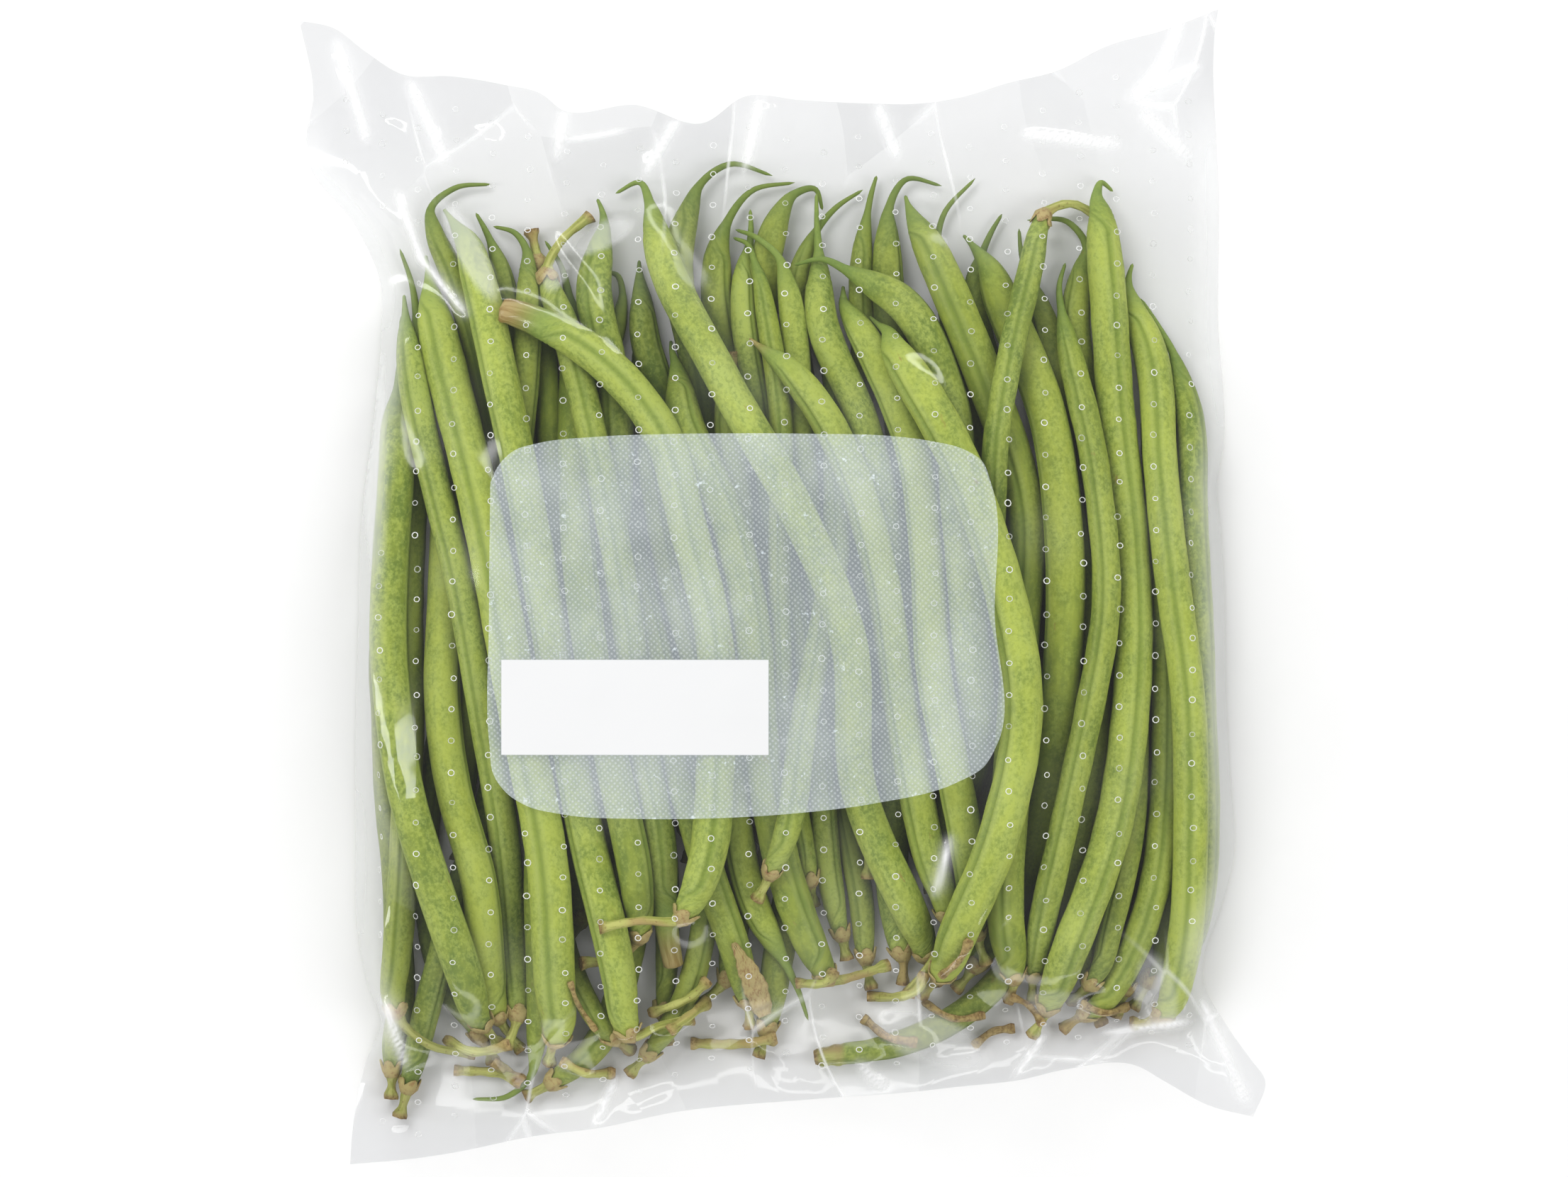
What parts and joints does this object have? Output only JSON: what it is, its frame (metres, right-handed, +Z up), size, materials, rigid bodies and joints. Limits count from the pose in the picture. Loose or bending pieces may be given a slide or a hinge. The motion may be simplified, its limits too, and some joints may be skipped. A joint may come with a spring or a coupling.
{
  "type": "green bean bundle",
  "caption": "Bundle of fine green beans lying side by side in a clear perforated film bag with flat end welds and a plain translucent label.",
  "frame": {"origin": "middle of the bag's flat resting face", "axes": "+Z up out of the table, +Y towards the end where the beans' curved tails point, +X to the right of the label as it is read"},
  "size_m": [0.1712, 0.2052, 0.028],
  "materials": {
    "bean_front": null,
    "bean_middle": null,
    "bean_back": null,
    "clear_film": "clear glossy perforated film",
    "label_sheet": "translucent matte label sheet"
  },
  "bodies": {
    "root": {"bean_01": "bean_middle", "bean_02": "bean_front", "bean_03": "bean_middle", "bean_04": "bean_middle", "bean_05": "bean_back", "bean_06": "bean_back", "bean_07": "bean_back", "bean_08": "bean_front", "bean_09": "bean_back", "bean_10": "bean_front", "bean_11": "bean_back", "bean_12": "bean_front", "bean_13": "bean_middle", "bean_14": "bean_back", "bean_15": "bean_back", "bean_16": "bean_middle", "bean_17": "bean_middle", "bean_18": "bean_back", "bean_19": "bean_back", "bean_20": "bean_middle", "bean_21": "bean_middle", "bean_22": "bean_front", "bean_23": "bean_middle", "bean_24": "bean_back", "bean_25": "bean_back", "bean_26": "bean_middle", "bean_27": "bean_front", "bean_28": "bean_front", "bean_29": "bean_middle", "bean_30": "bean_back", "bean_31": "bean_middle", "bean_32": "bean_back", "bean_33": "bean_back", "bean_34": "bean_middle", "bean_35": "bean_back", "bean_36": "bean_middle", "bean_37": "bean_front", "bean_38": "bean_front", "bean_39": "bean_middle", "bean_40": "bean_back", "bean_41": "bean_back", "bean_42": "bean_middle", "bean_43": "bean_back", "bean_44": "bean_back", "bean_45": "bean_middle", "bean_46": "bean_middle", "bean_47": "bean_middle", "bean_48": "bean_middle", "bean_49": "bean_back", "bean_50": "bean_back", "bean_51": "bean_back", "bean_52": "bean_middle", "bean_53": "bean_back", "bean_54": "bean_middle", "bean_55": "bean_back", "bean_56": "bean_back", "bean_57": "bean_back", "bean_58": "bean_back", "film_bag": "clear_film", "label": "label_sheet"}
  },
  "joints": []
}
